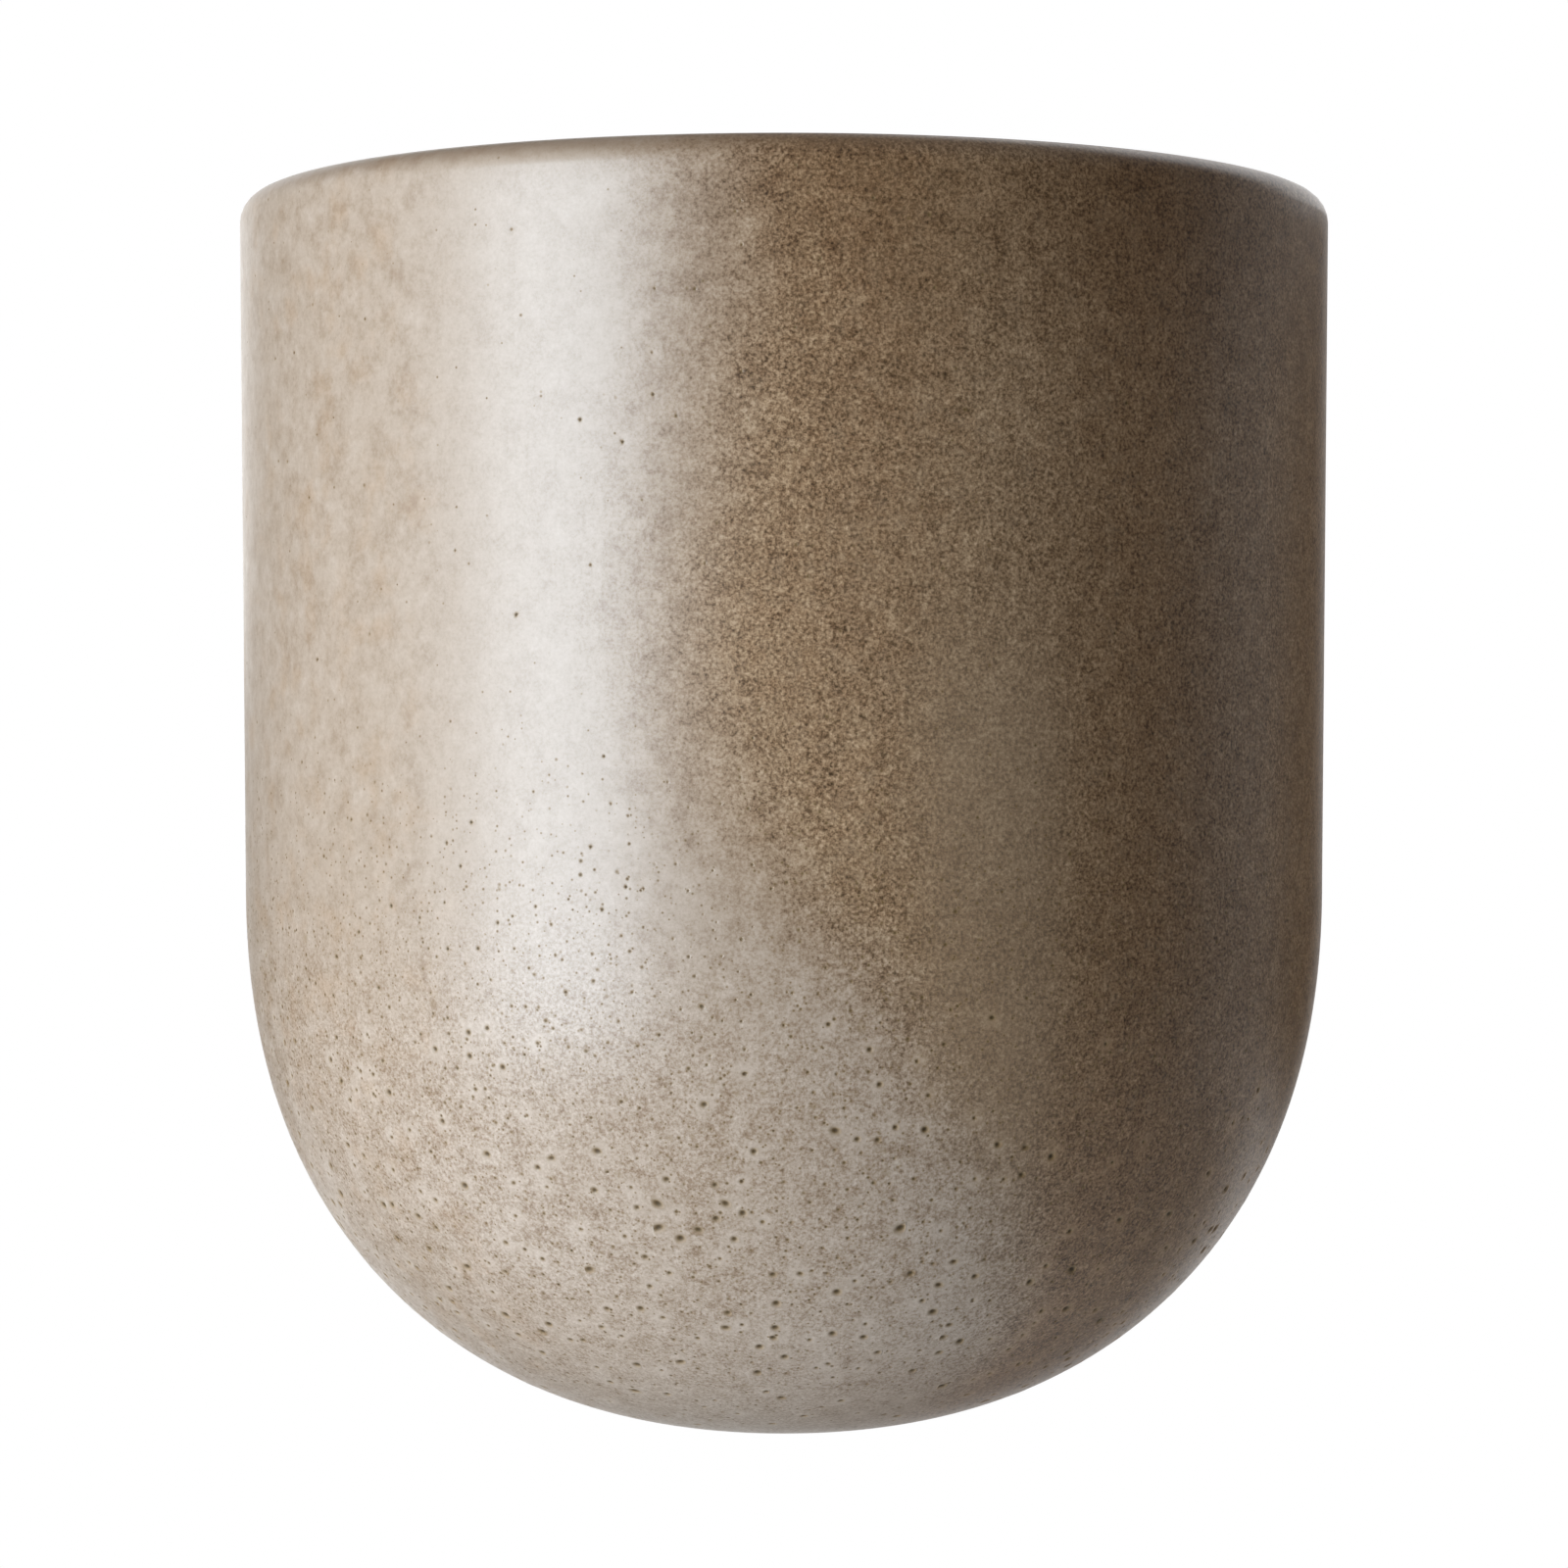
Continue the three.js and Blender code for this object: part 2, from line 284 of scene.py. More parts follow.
def cut_block(keep, rows, columns, index):
    """Takes a block of the grid's faces out and gives the vertices round it, in order."""
    (r0, r1), (c0, c1) = rows, columns
    keep[r0:r1, c0:c1] = False
    return (
        [index(r0, c) for c in range(c0, c1)]
        + [index(r, c1) for r in range(r0, r1)]
        + [index(r1, c) for c in range(c1, c0, -1)]
        + [index(r, c0) for r in range(r1, r0, -1)]
    )


def add_keyhole(skin, outer_border, inner_border):
    """The keyhole from the back's outer face to its inner one, with softened edges."""
    rows = []
    for step in range(KEYHOLE_SOFT_STEPS + 1):
        turn = math.pi / 2 * step / KEYHOLE_SOFT_STEPS
        grow = KEYHOLE_SOFT * (1 - math.sin(turn))
        rows.append((grow, KEYHOLE_SOFT * (1 - math.cos(turn))))
    levels = [(grow, BACK_Y - deep) for grow, deep in rows]
    levels += [(0, (BACK_Y + INNER_BACK_Y) / 2)]
    levels += [(grow, INNER_BACK_Y + deep) for grow, deep in reversed(rows)]
    rings = []
    for grow, y in levels:
        outline = keyhole_outline(grow, KEYHOLE_POINTS)
        rings.append(skin.add((x, y, z) for x, z in outline))
    for low, high in zip(rings, rings[1:]):
        skin.bridge(low, high)
    for ring in rings[: -KEYHOLE_SOFT_STEPS - 1]:
        skin.paint("bare", ring, KEYHOLE_BARE)
    flat_patch(skin, outer_border, rings[0])
    flat_patch(skin, inner_border, rings[-1])


# Pits that burst bubbles left in the glaze
PIT_COUNT = 1230
PIT_SEED = 71
PIT_FROM = -215 * DEGREE  # directions round the bowl's axis, as in ring_angles
PIT_TO = 35 * DEGREE
PIT_SMALLEST = 0.21 * MM  # radius
PIT_LARGEST = 0.58 * MM
LARGE_RADIUS = 0.34 * MM  # pits above this have more vertices
PIT_DEPTH = 0.45  # as a share of the radius
PIT_RIM = 0.02 * MM  # how far the glaze stands up round a pit
PIT_PATCH = 1.3 * MM  # room that a pit's patch takes to each side
PIT_ROOM = 0.85  # how much of that room the pit may fill
PIT_SHIFT = 0.45 * MM  # how far a pit may lie from the middle of its patch
PIT_TILT = 0.4  # radians, the usual turn of a long pit
PIT_STRETCH = 0.6  # how much longer than wide the longest is, as a share of its width
PIT_FAINTEST = 0.6  # how dark the palest pit is, as a share of the darkest
LOWEST_PIT_ROW = 5  # rows of the mesh below this are too narrow for a pit
ROWS_UNDER_LIP = 2  # rows without pits
PIT_FROM_BACK = 4 * MM
HALO_RADIUS = 0.27 * MM  # pits above this may have a pale ring
HALO_MISSING = 0.2  # share of them without one
HALO_REACH = 2.0 * MM

# Each ring's share of the pit's radius, of its rim and of its depth, and how much pit shows
LARGE_PIT = (
    (2.1, 0, 0, 0),
    (1.5, 1, 0, 0.2),
    (1.05, 0, 0.15, 0.42),
    (0.65, 0, 0.6, 0.7),
    (0.3, 0, 0.95, 1),
)
SMALL_PIT = (
    (1.9, 0, 0, 0),
    (1.1, 0, 0.15, 0.3),
    (0.5, 0, 0.8, 0.9),
)

PIT_HEIGHTS = (-145, -138, -128, -108, -96, -82, -66, -45, 28)  # mm
PIT_CHANCES = (0.05, 0.5, 1, 1, 0.7, 0.35, 0.08, 0.01, 0.005)
PIT_FALL = 0.9  # how much lower the pits lie for each mm to the right of the middle
PIT_FALL_ACROSS = 34  # mm, where they stop falling
PIT_FALL_BOTTOM = -125 * MM  # below this they don't fall
LIP_PITS = 0.1  # chance in the middle of a small group of pits near the lip
LIP_PITS_X, LIP_PITS_Z = -14, 8  # mm
LIP_PITS_WIDE, LIP_PITS_HIGH = 9, 22  # mm

LARGE_PITS_BELOW = -66 * MM  # pits grow larger from here down
LARGE_PITS_SPAN = 45 * MM
LEAST_GROWTH = 0.12


def pit_chance(x, z):
    """How likely a pit is, from 0 to 1, at a place across the front and a height."""
    fall = PIT_FALL * np.clip(x / MM, 0, PIT_FALL_ACROSS) * (z > PIT_FALL_BOTTOM)
    low_down = np.interp(z / MM + fall, PIT_HEIGHTS, PIT_CHANCES)
    aside = (x / MM - LIP_PITS_X) / LIP_PITS_WIDE
    above = (z / MM - LIP_PITS_Z) / LIP_PITS_HIGH
    return low_down + LIP_PITS * math.exp(-(aside**2) - above**2)


def block_rim(half):
    """Steps in rows and columns to the vertices round a block, two rows high, in order."""
    low = [(-1, column) for column in range(-half, half + 1)]
    high = [(1, column) for column in range(half, -half - 1, -1)]
    return [*low, (0, half), *high, (0, -half)]


def add_pit(skin, rim, middle, radius, stretch, lean, shift, strength):
    """One pit near the middle of a block, in place of the faces inside the block's rim."""
    around = [Vector(skin.points[v]) - middle for v in rim]
    normal = sum((a.cross(b) for a, b in zip(around, around[1:] + around[:1])), Vector())
    normal.normalize()
    along = (around[len(around) // 2 - 1] - around[-1]).normalized()
    across = normal.cross(along).normalized()
    middle = middle + along * shift[0] + across * shift[1]
    around = [Vector(skin.points[v]) - middle for v in rim]

    # The pit's rings have a vertex for each one of the rim, and large pits one more between them
    large = radius > LARGE_RADIUS
    spokes = around
    if large:
        after = around[1:] + around[:1]
        spokes = [spoke for a, b in zip(around, after) for spoke in (a, (a + b) / 2)]
    count = len(spokes)
    depth = radius * PIT_DEPTH
    rings = []
    for share, rim_share, drop, pit in LARGE_PIT if large else SMALL_PIT:
        ring = []
        for spoke in spokes:
            sag = spoke.dot(normal)
            flat = spoke - normal * sag
            way = flat.normalized()
            turn = math.atan2(way.dot(across), way.dot(along)) - lean
            reach = share * radius * stretch
            reach /= math.hypot(math.cos(turn), stretch * math.sin(turn))
            reach = min(reach, PIT_ROOM * flat.length)
            height = rim_share * PIT_RIM - drop * depth + sag * (reach / flat.length) ** 2
            ring.append(middle + way * reach + normal * height)
        made = skin.add(ring)
        skin.paint("pit", made, pit * strength)
        rings.append(made)

    # Faces from the rim to the widest ring, and from there down to the bottom
    outside = rings[0]
    for i, here in enumerate(rim):
        there = rim[(i + 1) % len(rim)]
        if large:
            a, b, c = (outside[(2 * i + k) % count] for k in range(3))
            skin.faces += [(here, there, b), (here, b, a), (there, c, b)]
        else:
            skin.faces.append((here, there, outside[(i + 1) % count], outside[i]))
    for low, high in zip(rings, rings[1:]):
        skin.bridge(low, high)
    bottom = skin.add([middle - normal * depth])[0]
    skin.paint("pit", [bottom], strength)
    last = rings[-1]
    for i in range(count):
        skin.faces.append((last[i], last[(i + 1) % count], bottom))
    return middle


def add_pits(skin, rings, first_of, keep):
    """Scatters pits over the outside, each in a block of faces of its own."""
    rng = np.random.default_rng(PIT_SEED)
    around = len(rings[0])
    heights = np.array([ring[0][2] for ring in rings])
    haloed = []
    made = 0
    while made < PIT_COUNT:
        angle = rng.uniform(PIT_FROM, PIT_TO)
        z = rng.uniform(LOWEST_Z, SIDE_TOP_Z)
        chance, size, stretch, dark, pale, *shift = rng.random(7)
        lean = rng.normal() * PIT_TILT
        reach = outside_radius(z)
        likely = pit_chance(reach * math.cos(angle), z) * reach / WAIST_RADIUS
        row = int(np.argmin(np.abs(heights - z)))
        if chance > likely or not LOWEST_PIT_ROW <= row < len(rings) - ROWS_UNDER_LIP:
            continue
        ring = rings[row]
        place = (reach * math.cos(angle), AXIS_Y + reach * math.sin(angle))
        column = int(np.argmin(np.hypot(ring[:, 0] - place[0], ring[:, 1] - place[1])))
        spacing = np.linalg.norm(ring[column] - ring[(column + 1) % around])
        half = max(1, round(PIT_PATCH / spacing))
        columns = np.arange(column - half, column + half) % around
        faces = np.ix_(range(row - 1, row + 1), columns)
        if not keep[faces].all() or ring[column, 1] > BACK_Y - PIT_FROM_BACK:
            continue
        keep[faces] = False
        made += 1
        rim = [first_of[row + dr] + (column + dc) % around for dr, dc in block_rim(half)]
        growth = np.clip((LARGE_PITS_BELOW - z) / LARGE_PITS_SPAN, LEAST_GROWTH, 1)
        radius = PIT_SMALLEST + (PIT_LARGEST - PIT_SMALLEST) * growth * size**3
        middle = add_pit(
            skin,
            rim,
            Vector(ring[column]),
            radius,
            stretch=1 + PIT_STRETCH * size * stretch**3,
            lean=lean,
            shift=[(2 * s - 1) * PIT_SHIFT for s in shift],
            strength=PIT_FAINTEST + (1 - PIT_FAINTEST) * max(dark, size) ** 2,
        )
        if radius > HALO_RADIUS and pale > HALO_MISSING:
            haloed.append(middle)
    paint_halos(skin, haloed)


def paint_halos(skin, middles):
    """Paints the pale ring round each of these pits, strongest in its middle."""
    points = np.array(skin.points)
    halo = skin.painted["halo"]
    for middle in middles:
        away = np.linalg.norm(points - np.array(middle), axis=1) / HALO_REACH
        for v in np.flatnonzero(away < 1):
            paler = (1 - away[v] ** 2) ** 2
            halo[int(v)] = max(halo.get(int(v), 0.0), float(paler))


def outside_radius(z):
    """The bowl's outer radius at a height."""
    if z >= WAIST_Z:
        return WAIST_RADIUS + DRAFT * (z - WAIST_Z) / (SIDE_TOP_Z - WAIST_Z)
    down = min(1.0, (WAIST_Z - z) / BOTTOM_DEPTH)
    return WAIST_RADIUS * (1 - down**BOTTOM_POWER) ** (1 / BOTTOM_POWER)


def paint_back(skin, rings, first_of):
    """Paints how far each vertex of the flat back lies in from its edge, in millimetres."""
    edge = []
    for ring in rings:
        on_back = ring[np.abs(ring[:, 1] - BACK_Y) < ON_BACK]
        if len(on_back):
            edge.append((on_back[:, 0].max(), ring[0][2]))
    edge = np.array(edge)
    outline = np.concatenate([edge, edge[::-1] * [-1, 1]])
    sides = np.roll(outline, -1, axis=0) - outline
    lengths = np.maximum(np.linalg.norm(sides, axis=1), TINY)
    for row, ring in enumerate(rings):
        for column in np.flatnonzero(np.abs(ring[:, 1] - BACK_Y) < ON_BACK):
            gap = ring[column, [0, 2]] - outline
            along = np.clip((gap * sides).sum(axis=1) / lengths**2, 0, 1)
            away = np.linalg.norm(gap - sides * along[:, None], axis=1)
            skin.paint("bare", [first_of[row] + int(column)], float(away.min() / MM))


def make_bowl():
    """The glazed bowl as one closed mesh, with its pits and its keyhole."""
    outer = wall_profile(0, 0, BOTTOM_STEPS, SIDE_STEPS)
    inner = wall_profile(SIDE_WALL, BOTTOM_WALL, INNER_BOTTOM_STEPS, INNER_SIDE_STEPS)
    outside = [bowl_ring(r, FLAT, z) for r, z in outer[1:]]
    inside = [bowl_ring(r, FLAT - BACK_WALL, z) for r, z in inner[1:]]
    rings = outside + lip_rings(outside[-1], inside[-1]) + inside[::-1]
    skin = Skin()
    first_of = [skin.add(ring)[0] for ring in rings]
    around = len(rings[0])
    keep = np.ones((len(rings) - 1, around), bool)

    def index(row, column):
        return first_of[row] + column % around

    def border(group, reach):
        """Clears the patch for the keyhole in one face of the back."""
        back = FRONT_STEPS + CORNER_STEPS + BACK_STEPS
        level = [r for r in group if PATCH_LOW < rings[r][0][2] < PATCH_HIGH]
        return cut_block(keep, (level[0], level[-1]), (back - reach, back + reach), index)

    outer_border = border(range(len(outside)), OUTER_PATCH_COLUMNS)
    inner_border = border(range(len(rings) - len(inside), len(rings)), INNER_PATCH_COLUMNS)
    paint_back(skin, outside, first_of)
    add_pits(skin, outside, first_of, keep)
    for row, column in zip(*np.nonzero(keep)):
        skin.faces.append(
            (
                index(row, column),
                index(row, column + 1),
                index(row + 1, column + 1),
                index(row + 1, column),
            )
        )
    for pole, row in ((outer[0][1], 0), (inner[0][1], len(rings) - 1)):
        tip = skin.add([(0, AXIS_Y, pole)])[0]
        for column in range(around):
            skin.faces.append((tip, index(row, column), index(row, column + 1)))
    add_keyhole(skin, outer_border, inner_border)
    return skin.to_object("glazed_bowl")


# ---------- Materials ----------


class Wire:
    """A value that runs through a material's nodes. Arithmetic on it adds Math nodes."""

    def __init__(self, tree, socket):
        self.tree = tree
        self.socket = socket

    def math(self, operation, *values):
        return add_node(
            self.tree,
            "ShaderNodeMath",
            {"operation": operation},
            dict(enumerate(values)),
        )

    def __add__(self, other):
        return self.math("ADD", self, other)

    __radd__ = __add__

    def __sub__(self, other):
        return self.math("SUBTRACT", self, other)

    def __rsub__(self, other):
        return self.math("SUBTRACT", other, self)

    def __mul__(self, other):
        return self.math("MULTIPLY", self, other)

    __rmul__ = __mul__

    def __truediv__(self, other):
        return self.math("DIVIDE", self, other)

    def __rtruediv__(self, other):
        return self.math("DIVIDE", other, self)

    def __pow__(self, other):
        return self.math("POWER", self, other)

    def smaller(self, other):
        return self.math("MINIMUM", self, other)

    def larger(self, other):
        return self.math("MAXIMUM", self, other)

    def step(self, start, end):
        """0 below start, 1 above end and smooth between. It falls where end is under start."""
        return add_node(
            self.tree,
            "ShaderNodeMapRange",
            {"interpolation_type": "SMOOTHSTEP"},
            {"Value": self, "From Min": start, "From Max": end},
        )

    def band(self, start, full, fading, gone):
        """1 between full and fading, and smoothly down to 0 at start and at gone."""
        return self.step(start, full) * self.step(gone, fading)

    def output(self, name):
        """Another output of the node that this value comes from."""
        return Wire(self.tree, self.socket.node.outputs[name])


def add_node(tree, kind, settings=None, inputs=None, output=0):
    """Adds a node, sets it up, links or fills its sockets and gives one of its outputs."""
    made = tree.nodes.new(kind)
    for name, value in (settings or {}).items():
        if name == "stops":
            ramp = made.color_ramp
            while len(ramp.elements) < len(value):
                ramp.elements.new(1.0)
            for element, (place, colour) in zip(ramp.elements, value):
                element.position = place
                element.color = (*colour, 1.0)
        else:
            setattr(made, name, value)
    for name, value in (inputs or {}).items():
        socket = made.inputs[name]
        if isinstance(value, Wire):
            tree.links.new(value.socket, socket)
        elif isinstance(value, tuple) and len(value) == 3 and socket.type == "RGBA":
            socket.default_value = (*value, 1.0)
        else:
            socket.default_value = value
    return Wire(tree, made.outputs[output])


# Where the Mix node has its sockets for colours
MIX_FACTOR, MIX_LOW, MIX_HIGH, MIX_RESULT = 0, 6, 7, 2


def mix(factor, low, high, blend="MIX"):
    """Colour that goes from low to high as factor goes from 0 to 1."""
    return add_node(
        factor.tree,
        "ShaderNodeMix",
        {"data_type": "RGBA", "blend_type": blend, "clamp_factor": True},
        {MIX_FACTOR: factor, MIX_LOW: low, MIX_HIGH: high},
        MIX_RESULT,
    )


SMALLEST_DOT = 0.4  # of a pattern of dots, as a share of the largest


class Finish:
    """A material with one main shader, and the patterns that its maker may use."""

    def __init__(self, name, **plain):
        self.material = bpy.data.materials.new(name)
        self.material.use_nodes = True
        self.tree = self.material.node_tree
        self.shader = self.tree.nodes["Principled BSDF"]
        self.place = add_node(self.tree, "ShaderNodeTexCoord", output="Object")
        self.set(**plain)

    def set(self, **values):
        for name, value in values.items():
            socket = self.shader.inputs[name.replace("_", " ")]
            if isinstance(value, Wire):
                self.tree.links.new(value.socket, socket)
            else:
                socket.default_value = (*value, 1.0) if isinstance(value, tuple) else value

    def painted(self, name):
        """A value painted on the mesh's vertices."""
        return add_node(self.tree, "ShaderNodeAttribute", {"attribute_name": name}, output="Fac")

    def stretched(self, y=1.0, z=1.0, shift=0.0):
        """The place on the piece, scaled to make a pattern longer or shifted to make another."""
        return add_node(
            self.tree,
            "ShaderNodeMapping",
            None,
            {"Vector": self.place, "Scale": (1.0, y, z), "Location": (shift, shift, shift)},
        )

    def noise(self, size, detail=2.0, rough=0.5, place=None):
        """Even noise round 0.5, with features about as wide as size."""
        return add_node(
            self.tree,
            "ShaderNodeTexNoise",
            None,
            {
                "Vector": place or self.place,
                "Scale": 1 / size,
                "Detail": detail,
                "Roughness": rough,
            },
        )

    def ramp(self, factor, stops):
        """The colour that a row of stops gives for a factor."""
        return add_node(self.tree, "ShaderNodeValToRGB", {"stops": stops}, {"Fac": factor})

    def dots(self, spacing, radius, share, place=None):
        """Round dots, 1 in the middle, scattered about a spacing apart. share of them show."""
        away = add_node(
            self.tree,
            "ShaderNodeTexVoronoi",
            None,
            {"Vector": place or self.place, "Scale": 1 / spacing},
            "Distance",
        )
        chosen = add_node(
            self.tree, "ShaderNodeSeparateColor", None, {"Color": away.output("Color")}
        )
        size = chosen.output("Green") * (1 - SMALLEST_DOT) + SMALLEST_DOT
        dot = 1 - (away / (size * (radius / spacing))).step(0.1, 1.0)
        return dot * (share - chosen).step(0.0, 0.02)

    def bump(self, height):
        """Raises the surface by a height in metres."""
        self.set(
            Normal=add_node(
                self.tree,
                "ShaderNodeBump",
                None,
                {"Strength": 1.0, "Distance": 1.0, "Height": height},
            )
        )


def axes_of(place):
    """The x, y and z of a place or direction."""
    split = add_node(place.tree, "ShaderNodeSeparateXYZ", None, {"Vector": place})
    return [split.output(axis) for axis in "XYZ"]


# Colours of the thick glaze and the thin glaze, from their lightest specks to their darkest
PALE_GLAZE = (
    (0.0, (0.68, 0.64, 0.59)),
    (0.2, (0.6, 0.54, 0.48)),
    (0.5, (0.46, 0.39, 0.32)),
    (0.8, (0.28, 0.2, 0.13)),
    (1.0, (0.15, 0.095, 0.05)),
)
BROWN_GLAZE = (
    (0.0, (0.68, 0.54, 0.38)),
    (0.2, (0.54, 0.41, 0.27)),
    (0.5, (0.33, 0.228, 0.136)),
    (0.8, (0.14, 0.085, 0.043)),
    (1.0, (0.05, 0.03, 0.012)),
)

# Tints that the glaze is multiplied by in places, one of them painted shade under the bowl
REDDER = (0.86, 0.74, 0.64)
DARKER = (0.6, 0.52, 0.43)
WARMER = (0.94, 0.91, 0.88)
TAN = (0.95, 0.88, 0.8)
# Painted shade: a darker tint for the front of the bottom, where it turns down
PAINTED_SHADE_UNDER = (0.8, 0.73, 0.66)

# Colours that it is mixed with
OLIVE_BROWN = (0.37, 0.285, 0.197)
TOP_BROWN = (0.2, 0.12, 0.06)
STAIN = (0.25, 0.17, 0.07)
PIT_COLOUR = (0.06, 0.034, 0.008)

# Colours of the bare clay
PALE_CLAY = (0.62, 0.56, 0.5)
BARE_CLAY = (0.5, 0.4, 0.29)
CLAY_SPECK = (0.16, 0.1, 0.06)


class Glaze(Finish):
    """The bowl's glaze: patterns that its layers share, and the layers made from them."""

    def __init__(self):
        super().__init__("speckled_glaze", IOR=1.65, Specular_Tint=(0.74, 0.87, 1.0))
        x, y, z = axes_of(self.place)
        turn = x.math("ARCTAN2", x, AXIS_Y - y)  # 0 at the middle of the front, more to the right
        mottle = self.noise(3.5 * MM, 3.0, 0.6) - 0.5
        fleck = self.noise(1.2 * MM, 2.0, 0.6, self.stretched(shift=0.4)) - 0.5
        grain = self.noise(0.45 * MM, 3.0, 0.75) - 0.5

        # Thick glaze is pale. It ran thin and brown to the right of a line that swings out low down
        line = z.step(-35 * MM, -138 * MM) * (44 * DEGREE) - 10 * DEGREE
        line = line + z.step(-15 * MM, 12 * MM) * (3 * DEGREE)
        drift = self.noise(40 * MM, 2.0, 0.5) - 0.5
        past_line = turn - line + drift * 0.2 + mottle * 0.1 + fleck * 0.06 + grain * 0.2
        brown = past_line.step(-11 * DEGREE, 9 * DEGREE) * z.step(-150 * MM, -128 * MM)

        self.z, self.turn = z, turn
        self.mottle, self.fleck, self.grain = mottle, fleck, grain
        self.brown = brown * turn.step(165 * DEGREE, 115 * DEGREE)
        self.beside_line = past_line.band(0.0, 14 * DEGREE, 16 * DEGREE, 32 * DEGREE)
        self.low_down = z.step(-60 * MM, -95 * MM)

    def ground(self):
        """Pale and brown glaze with their specks, lighter round the larger pits."""
        brown, low_down = self.brown, self.low_down
        smooth = self.turn.band(-40 * DEGREE, -32 * DEGREE, -20 * DEGREE, -10 * DEGREE)
        smooth = smooth * self.z.step(-100 * MM, -85 * MM) * 0.5
        dark = (self.mottle * (0.8 - brown * 0.1) + self.fleck * 0.55) * (1 - smooth)
        speckled = (brown * (brown * 0.7 + 0.3) + low_down * 0.7).smaller(1.0)
        flecks = self.noise(1.7 * MM, 4.0, 0.65, self.stretched(shift=0.2)).step(0.5, 0.8)
        dark = dark + self.grain * (0.5 + speckled * 3.3) + flecks * low_down * 0.35
        halo = self.painted("halo")
        dark = (dark * (1 - halo * 0.7) - halo * 0.4) * 0.6 + 0.5
        return mix(brown, self.ramp(dark, PALE_GLAZE), self.ramp(dark, BROWN_GLAZE))

    def tinted(self, colour):
        """Red, olive and dark parts of the brown, a warm lower part, painted shade low on the front
        of the bottom, and tan patches on the left.
        """
        z, turn, brown = self.z, self.turn, self.brown
        warm = self.noise(2.5 * MM, 4.0, 0.8, self.stretched(shift=0.7)) - 0.5
        far_right = turn.step(16 * DEGREE, 42 * DEGREE) * 0.85
        redder = (self.beside_line * 0.2 + warm * 1.5).larger(far_right)
        colour = mix(redder * brown, colour, REDDER, "MULTIPLY")

        olive = self.noise(2.5 * MM, 4.0, 0.8, self.stretched(shift=0.3)).step(0.45, 0.7) * 0.25
        paler = turn.band(9 * DEGREE, 17 * DEGREE, 24 * DEGREE, 32 * DEGREE)
        paler = paler * z.step(-20 * MM, -50 * MM) * 0.4
        colour = mix(olive.larger(paler) * brown, colour, OLIVE_BROWN)

        near_top = (z + self.mottle * (20 * MM)).step(-12 * MM, 24 * MM) * 0.55
        near_top = near_top + self.beside_line * z.step(-60 * MM, -5 * MM) * 0.25
        colour = mix(near_top * brown, colour, DARKER, "MULTIPLY")

        colour = mix(self.low_down * 0.5, colour, WARMER, "MULTIPLY")
        # Painted shade: the front of the bottom is darkened where it turns down towards the floor
        under = z.step(-122 * MM, -135 * MM) * turn.step(-10 * DEGREE, 30 * DEGREE)
        colour = mix(under * 0.9, colour, PAINTED_SHADE_UNDER, "MULTIPLY")

        tan = self.noise(6 * MM, 4.0, 0.6, self.stretched(shift=0.5)).step(0.48, 0.72)
        tan = tan * turn.step(-30 * DEGREE, -42 * DEGREE) * 0.8
        return mix(tan, colour, TAN, "MULTIPLY")

    def pinholes(self):
        """More pinholes beside the mesh's own pits, as dots."""
        share = self.z.step(-45 * MM, -90 * MM) * 0.75 + 0.04
        return self.dots(1.5 * MM, 0.45 * MM, share * self.z.step(-143 * MM, -135 * MM))

    def pepper(self):
        """Dark specks finer than the pinholes."""
        share = self.z.band(-140 * MM, -110 * MM, -75 * MM, -40 * MM) * 0.85 + 0.05
        return self.dots(0.85 * MM, 0.32 * MM, share, self.stretched(shift=0.9))

    def lip(self):
        """How much the glaze breaks brown over the lip, with a ragged lower edge."""
        ragged = self.z + (self.noise(3 * MM) - 0.5) * (1.5 * MM)
        return ragged.step(LIP_Z - 3 * MM, LIP_Z - 0.8 * MM) * 0.5

    def clay(self, sand):
        """Sandy clay with dark specks."""
        colour = mix(sand.step(0.35, 0.65) * 0.5, BARE_CLAY, PALE_CLAY)
        colour = mix(self.noise(20 * MM, 3.0).step(0.4, 0.7), colour, WARMER, "MULTIPLY")
        return mix(self.dots(1.3 * MM, 0.45 * MM, 0.5) * 0.7, colour, CLAY_SPECK)


def glaze_finish():
    glaze = Glaze()
    pinholes = glaze.pinholes()
    pitted = glaze.painted("pit").larger(pinholes * 0.85).larger(glaze.pepper() * 0.75)
    stains = glaze.dots(3.0 * MM, 1.0 * MM, glaze.low_down * 0.4, glaze.stretched(shift=0.6))
    sand = glaze.noise(0.5 * MM, 3.0, 0.7)
    inside_edge = glaze.painted("bare") + (glaze.noise(6 * MM, 3.0) - 0.5) * 3.0
    bare = inside_edge.step(2.9, 3.3)  # the back inside its glazed border

    colour = glaze.tinted(glaze.ground())
    colour = mix((pitted * 1.4).larger(stains * 0.4), colour, STAIN)
    colour = mix(pitted.step(0.4, 1.1) * 0.95, colour, PIT_COLOUR)
    colour = mix(glaze.lip(), colour, TOP_BROWN)
    colour = mix(bare, colour, glaze.clay(sand))
    roughness = 0.34 + glaze.grain * 0.1 + glaze.mottle * 0.04 + pitted * 0.3 + bare * 0.45
    glaze.set(Base_Color=colour, Roughness=roughness)

    peel = glaze.noise(1.3 * MM, 2.0, 0.5, glaze.stretched(z=0.6))
    height = glaze.grain * (0.014 * MM) + peel * (0.016 * MM) - pinholes * (0.05 * MM)
    height = height + (sand - 0.5) * bare * (0.05 * MM) - bare * (0.12 * MM)
    glaze.bump(height)
    return glaze.material


def zinc_finish():
    finish = Finish("zinc_plate", Metallic=1.0)
    cloud = finish.noise(1.2 * MM, 3.0, 0.6)
    fine = finish.noise(0.2 * MM, 2.0, 0.6, finish.stretched(y=0.3))
    colour = mix(cloud.step(0.3, 0.7), (0.62, 0.64, 0.66), (0.8, 0.81, 0.82))
    finish.set(Base_Color=colour, Roughness=0.26 + cloud * 0.15)
    finish.bump(fine * (0.004 * MM))
    return finish.material


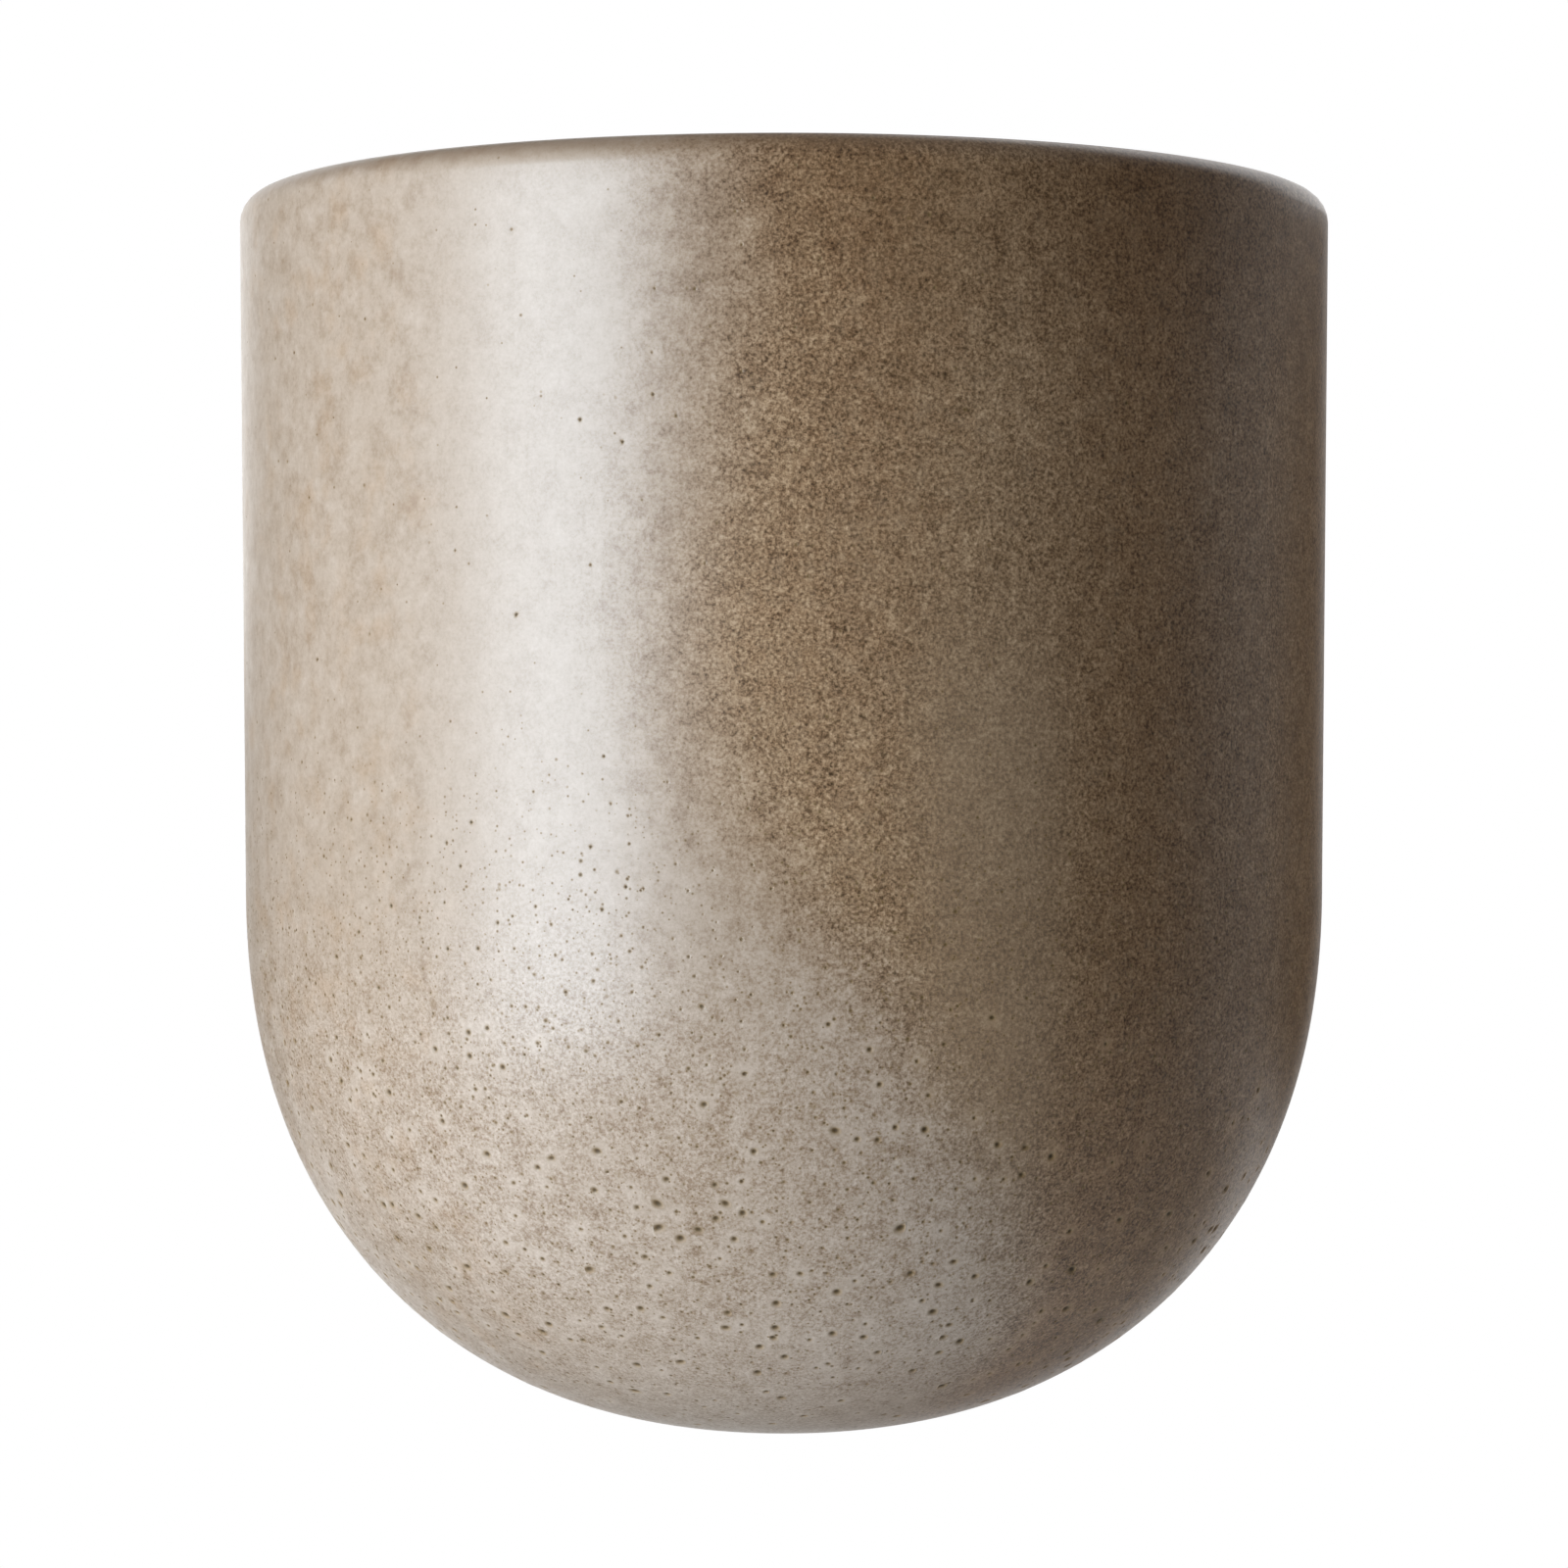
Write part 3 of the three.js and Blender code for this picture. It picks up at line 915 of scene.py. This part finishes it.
def nylon_finish():
    finish = Finish("moulded_nylon")
    cloud = finish.noise(3 * MM, 3.0, 0.6)
    fine = finish.noise(0.25 * MM, 2.0, 0.6)
    colour = mix(cloud.step(0.3, 0.7), (0.42, 0.43, 0.44), (0.5, 0.51, 0.52))
    finish.set(Base_Color=colour, Roughness=0.45 + fine * 0.15)
    finish.bump(fine * (0.01 * MM))
    return finish.material


def clear_rubber_finish():
    finish = Finish("clear_rubber", IOR=1.49)
    cloud = finish.noise(2 * MM, 2.0, 0.5)
    colour = mix(cloud, (0.6, 0.62, 0.61), (0.72, 0.74, 0.72))
    finish.set(Base_Color=colour, Roughness=0.14 + cloud * 0.1, Alpha=0.38 + cloud * 0.1)
    finish.bump(cloud * (0.02 * MM))
    return finish.material


# ---------- Studio ----------

PHOTO_SIDE = 1600  # pixels
FOCAL_PIXELS = 4691
SENSOR = 36.0
CAMERA_AWAY = 645 * MM  # camera to the bowl's axis
CAMERA_BELOW_LIP = 81.1 * MM

FLOOR_Z = -1.5  # the planter hangs at eye level
FLOOR_RADIUS = 6
FLOOR_POINTS = 96
ROOM_LIGHT = 0.01
CEILING_LIGHT = 0.18  # added straight above

# Name, azimuth and elevation in degrees, distance, width and height in metres, radiance, and
# whether the glaze mirrors it
SOFTBOXES = (
    ("key_softbox", -45.5, -1, 1.0, 0.58, 0.8, 7.6, True),
    ("key_spill", -70, -3, 1.0, 0.2, 0.77, 1.8, True),
    ("table_bounce", -80, -45, 1.4, 1.0, 1.0, 1.05, True),
    ("right_fill", 110, 0, 1.5, 0.8, 1.2, 1.8, False),
    ("right_sheen", 113, 0, 1.5, 0.6, 1.2, 0.2, True),
    ("rear_right_softbox", 147, 35, 1.4, 1.0, 1.2, 1.3, True),
    ("rear_left_softbox", -160, 20, 1.4, 0.8, 0.9, 1.2, True),
    ("rear_fill", 180, 0, 1.5, 1.2, 1.2, 2.5, False),
    ("top_fill", 180, 70, 1.4, 0.9, 0.9, 1.6, False),
)


def add_camera():
    lens = bpy.data.cameras.new("camera")
    lens.sensor_width = SENSOR
    lens.lens = FOCAL_PIXELS / PHOTO_SIDE * SENSOR
    lens.clip_start, lens.clip_end = 0.01, 50
    camera = bpy.data.objects.new("camera", lens)
    camera.location = (0, AXIS_Y - CAMERA_AWAY, LIP_Z - CAMERA_BELOW_LIP)
    camera.rotation_euler = (math.pi / 2, 0, 0)
    bpy.context.scene.collection.objects.link(camera)
    bpy.context.scene.camera = camera


def add_softbox(name, azimuth, elevation, away, width, height, radiance, mirrored):
    """A soft light that looks at the pot. Azimuth 0 is the camera's side, positive to its right."""
    target = Vector((0, AXIS_Y, (LIP_Z + LOWEST_Z) / 2))
    a, e = math.radians(azimuth), math.radians(elevation)
    way = Vector((math.sin(a) * math.cos(e), -math.cos(a) * math.cos(e), math.sin(e)))
    light = bpy.data.lights.new(name, "AREA")
    light.shape = "RECTANGLE"
    light.size, light.size_y = width, height
    light.energy = radiance * math.pi * width * height
    lamp = bpy.data.objects.new(name, light)
    lamp.location = target + way * away
    lamp.rotation_euler = (-way).to_track_quat("-Z", "Y").to_euler()
    lamp.visible_camera = False
    lamp.visible_glossy = mirrored
    bpy.context.scene.collection.objects.link(lamp)


def backdrop_share(tree, mirrored, seen=1.0):
    """How much of the white backdrop a ray finds: seen by the camera, or mirrored in the glaze."""
    camera = add_node(tree, "ShaderNodeLightPath", output="Is Camera Ray")
    return (camera * seen).larger(camera.output("Is Glossy Ray") * mirrored)


def add_floor():
    """A pale floor that turns into the white backdrop away from the pot."""
    bpy.ops.mesh.primitive_circle_add(
        vertices=FLOOR_POINTS, radius=FLOOR_RADIUS, fill_type="NGON", location=(0, 0, FLOOR_Z)
    )
    floor = bpy.context.object
    floor.name = "studio_floor"
    finish = Finish("pale_floor", Base_Color=(0.8, 0.8, 0.8), Roughness=0.8)
    x, y, _ = axes_of(finish.place)
    away = (x * x + y * y) ** 0.5
    backdrop = backdrop_share(finish.tree, y.step(1.5, 5.0), away.step(0.35, 1.5))
    white = add_node(
        finish.tree, "ShaderNodeEmission", None, {"Color": (1, 1, 1), "Strength": 1.0}
    )
    out = finish.tree.nodes["Material Output"]
    both = add_node(
        finish.tree,
        "ShaderNodeMixShader",
        None,
        {0: backdrop, 1: Wire(finish.tree, finish.shader.outputs[0]), 2: white},
    )
    finish.tree.links.new(both.socket, out.inputs["Surface"])
    floor.data.materials.append(finish.material)
    floor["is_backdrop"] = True


def add_world():
    """A dim room, lighter overhead, and the white backdrop behind the pot."""
    world = bpy.data.worlds.new("studio")
    bpy.context.scene.world = world
    world.use_nodes = True
    tree = world.node_tree
    way = add_node(tree, "ShaderNodeTexCoord", output="Generated")
    _, back, up = axes_of(way)
    room = up.step(0.1, 0.9) * CEILING_LIGHT + ROOM_LIGHT
    backdrop = backdrop_share(tree, back.step(0.9, 0.98))
    strength = room + backdrop * (1 - room)
    shade = tree.nodes["Background"]
    shade.inputs["Color"].default_value = (1, 1, 1, 1)
    tree.links.new(strength.socket, shade.inputs["Strength"])


# ---------- Putting it together ----------

bowl = make_bowl()
bowl.data.materials.append(glaze_finish())
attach(bowl, "pot")
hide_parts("bowl")

finishes = {
    "hanging_screw": zinc_finish(),
    "wall_plug": nylon_finish(),
}
rubber = clear_rubber_finish()
for name, node in nodes.items():
    if name != "bowl":
        node.data.materials.clear()
        node.data.materials.append(finishes.get(name, rubber))

add_camera()
for softbox in SOFTBOXES:
    add_softbox(*softbox)
add_floor()
add_world()
bpy.context.scene.view_settings.view_transform = "Standard"

sizes = {"cad": cad_box, "visual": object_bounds()}
{k: [list(corner) for corner in box] for k, box in sizes.items()}
